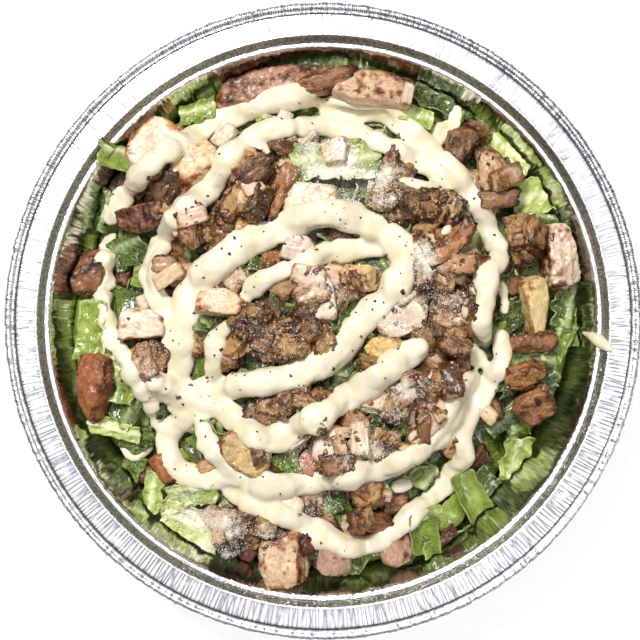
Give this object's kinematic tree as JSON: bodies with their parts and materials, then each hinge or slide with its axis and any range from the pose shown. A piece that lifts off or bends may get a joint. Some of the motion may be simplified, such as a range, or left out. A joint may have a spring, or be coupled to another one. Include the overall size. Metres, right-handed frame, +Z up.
{
  "type": "chicken caesar salad in a foil pan",
  "caption": "Low heap of chopped romaine with diced roast chicken and loose spirals of creamy dressing, in a round take-away pan of crimped aluminium foil.",
  "frame": {"origin": "on the table, at the centre of the pan's flat base", "axes": "+Z up out of the pan, +Y towards the long strip of chicken that lies along the wall, +X to the right of it"},
  "size_m": [0.229, 0.229, 0.0497],
  "materials": {
    "foil": "bright thin aluminium foil, crimped, with fine pressed ridges",
    "romaine": "crisp wet leaf, dark green to pale yellow-green with whitish ribs",
    "dressing": "thick creamy off-white dressing with specks of black pepper, soft gloss",
    "chicken_pale": "pale pinkish-beige roast meat, moist, fibrous",
    "chicken_seared": "browned meat and skin, moist gloss",
    "chicken_crisp": "crumbly dark golden-brown meat",
    "parmesan": "fine dry grated cheese, off-white",
    "pepper": "coarse ground black pepper"
  },
  "bodies": {
    "root": {"foil_pan": "foil", "salad_heap": "romaine", "chicken_01": "chicken_seared", "chicken_02": "chicken_pale", "chicken_03": "chicken_pale", "chicken_04": "chicken_seared", "chicken_05": "chicken_pale", "chicken_06": "chicken_crisp", "chicken_07": "chicken_seared", "chicken_08": "chicken_pale", "chicken_09": "chicken_seared", "chicken_10": "chicken_pale", "chicken_11": "chicken_pale", "chicken_12": "chicken_crisp", "chicken_13": "chicken_seared", "chicken_14": "chicken_pale", "chicken_15": "chicken_pale", "chicken_16": "chicken_pale", "chicken_17": "chicken_crisp", "chicken_18": "chicken_pale", "chicken_19": "chicken_pale", "chicken_20": "chicken_seared", "chicken_21": "chicken_crisp", "chicken_22": "chicken_crisp", "chicken_23": "chicken_pale", "chicken_24": "chicken_seared", "chicken_25": "chicken_seared", "chicken_26": "chicken_seared", "chicken_27": "chicken_seared", "chicken_28": "chicken_seared", "chicken_29": "chicken_crisp", "chicken_30": "chicken_pale", "chicken_31": "chicken_seared", "chicken_32": "chicken_crisp", "chicken_33": "chicken_crisp", "chicken_34": "chicken_crisp", "chicken_35": "chicken_pale", "chicken_36": "chicken_crisp", "chicken_37": "chicken_seared", "chicken_38": "chicken_pale", "chicken_39": "chicken_seared", "chicken_40": "chicken_crisp", "chicken_41": "chicken_crisp", "chicken_42": "chicken_pale", "chicken_43": "chicken_seared", "chicken_44": "chicken_seared", "chicken_45": "chicken_crisp", "chicken_46": "chicken_pale", "chicken_47": "chicken_crisp", "chicken_48": "chicken_seared", "chicken_49": "chicken_pale", "chicken_50": "chicken_pale", "chicken_51": "chicken_seared", "chicken_52": "chicken_seared", "chicken_53": "chicken_seared", "chicken_54": "chicken_seared", "chicken_55": "chicken_pale", "chicken_56": "chicken_seared", "chicken_57": "chicken_seared", "chicken_58": "chicken_crisp"}
  },
  "joints": []
}
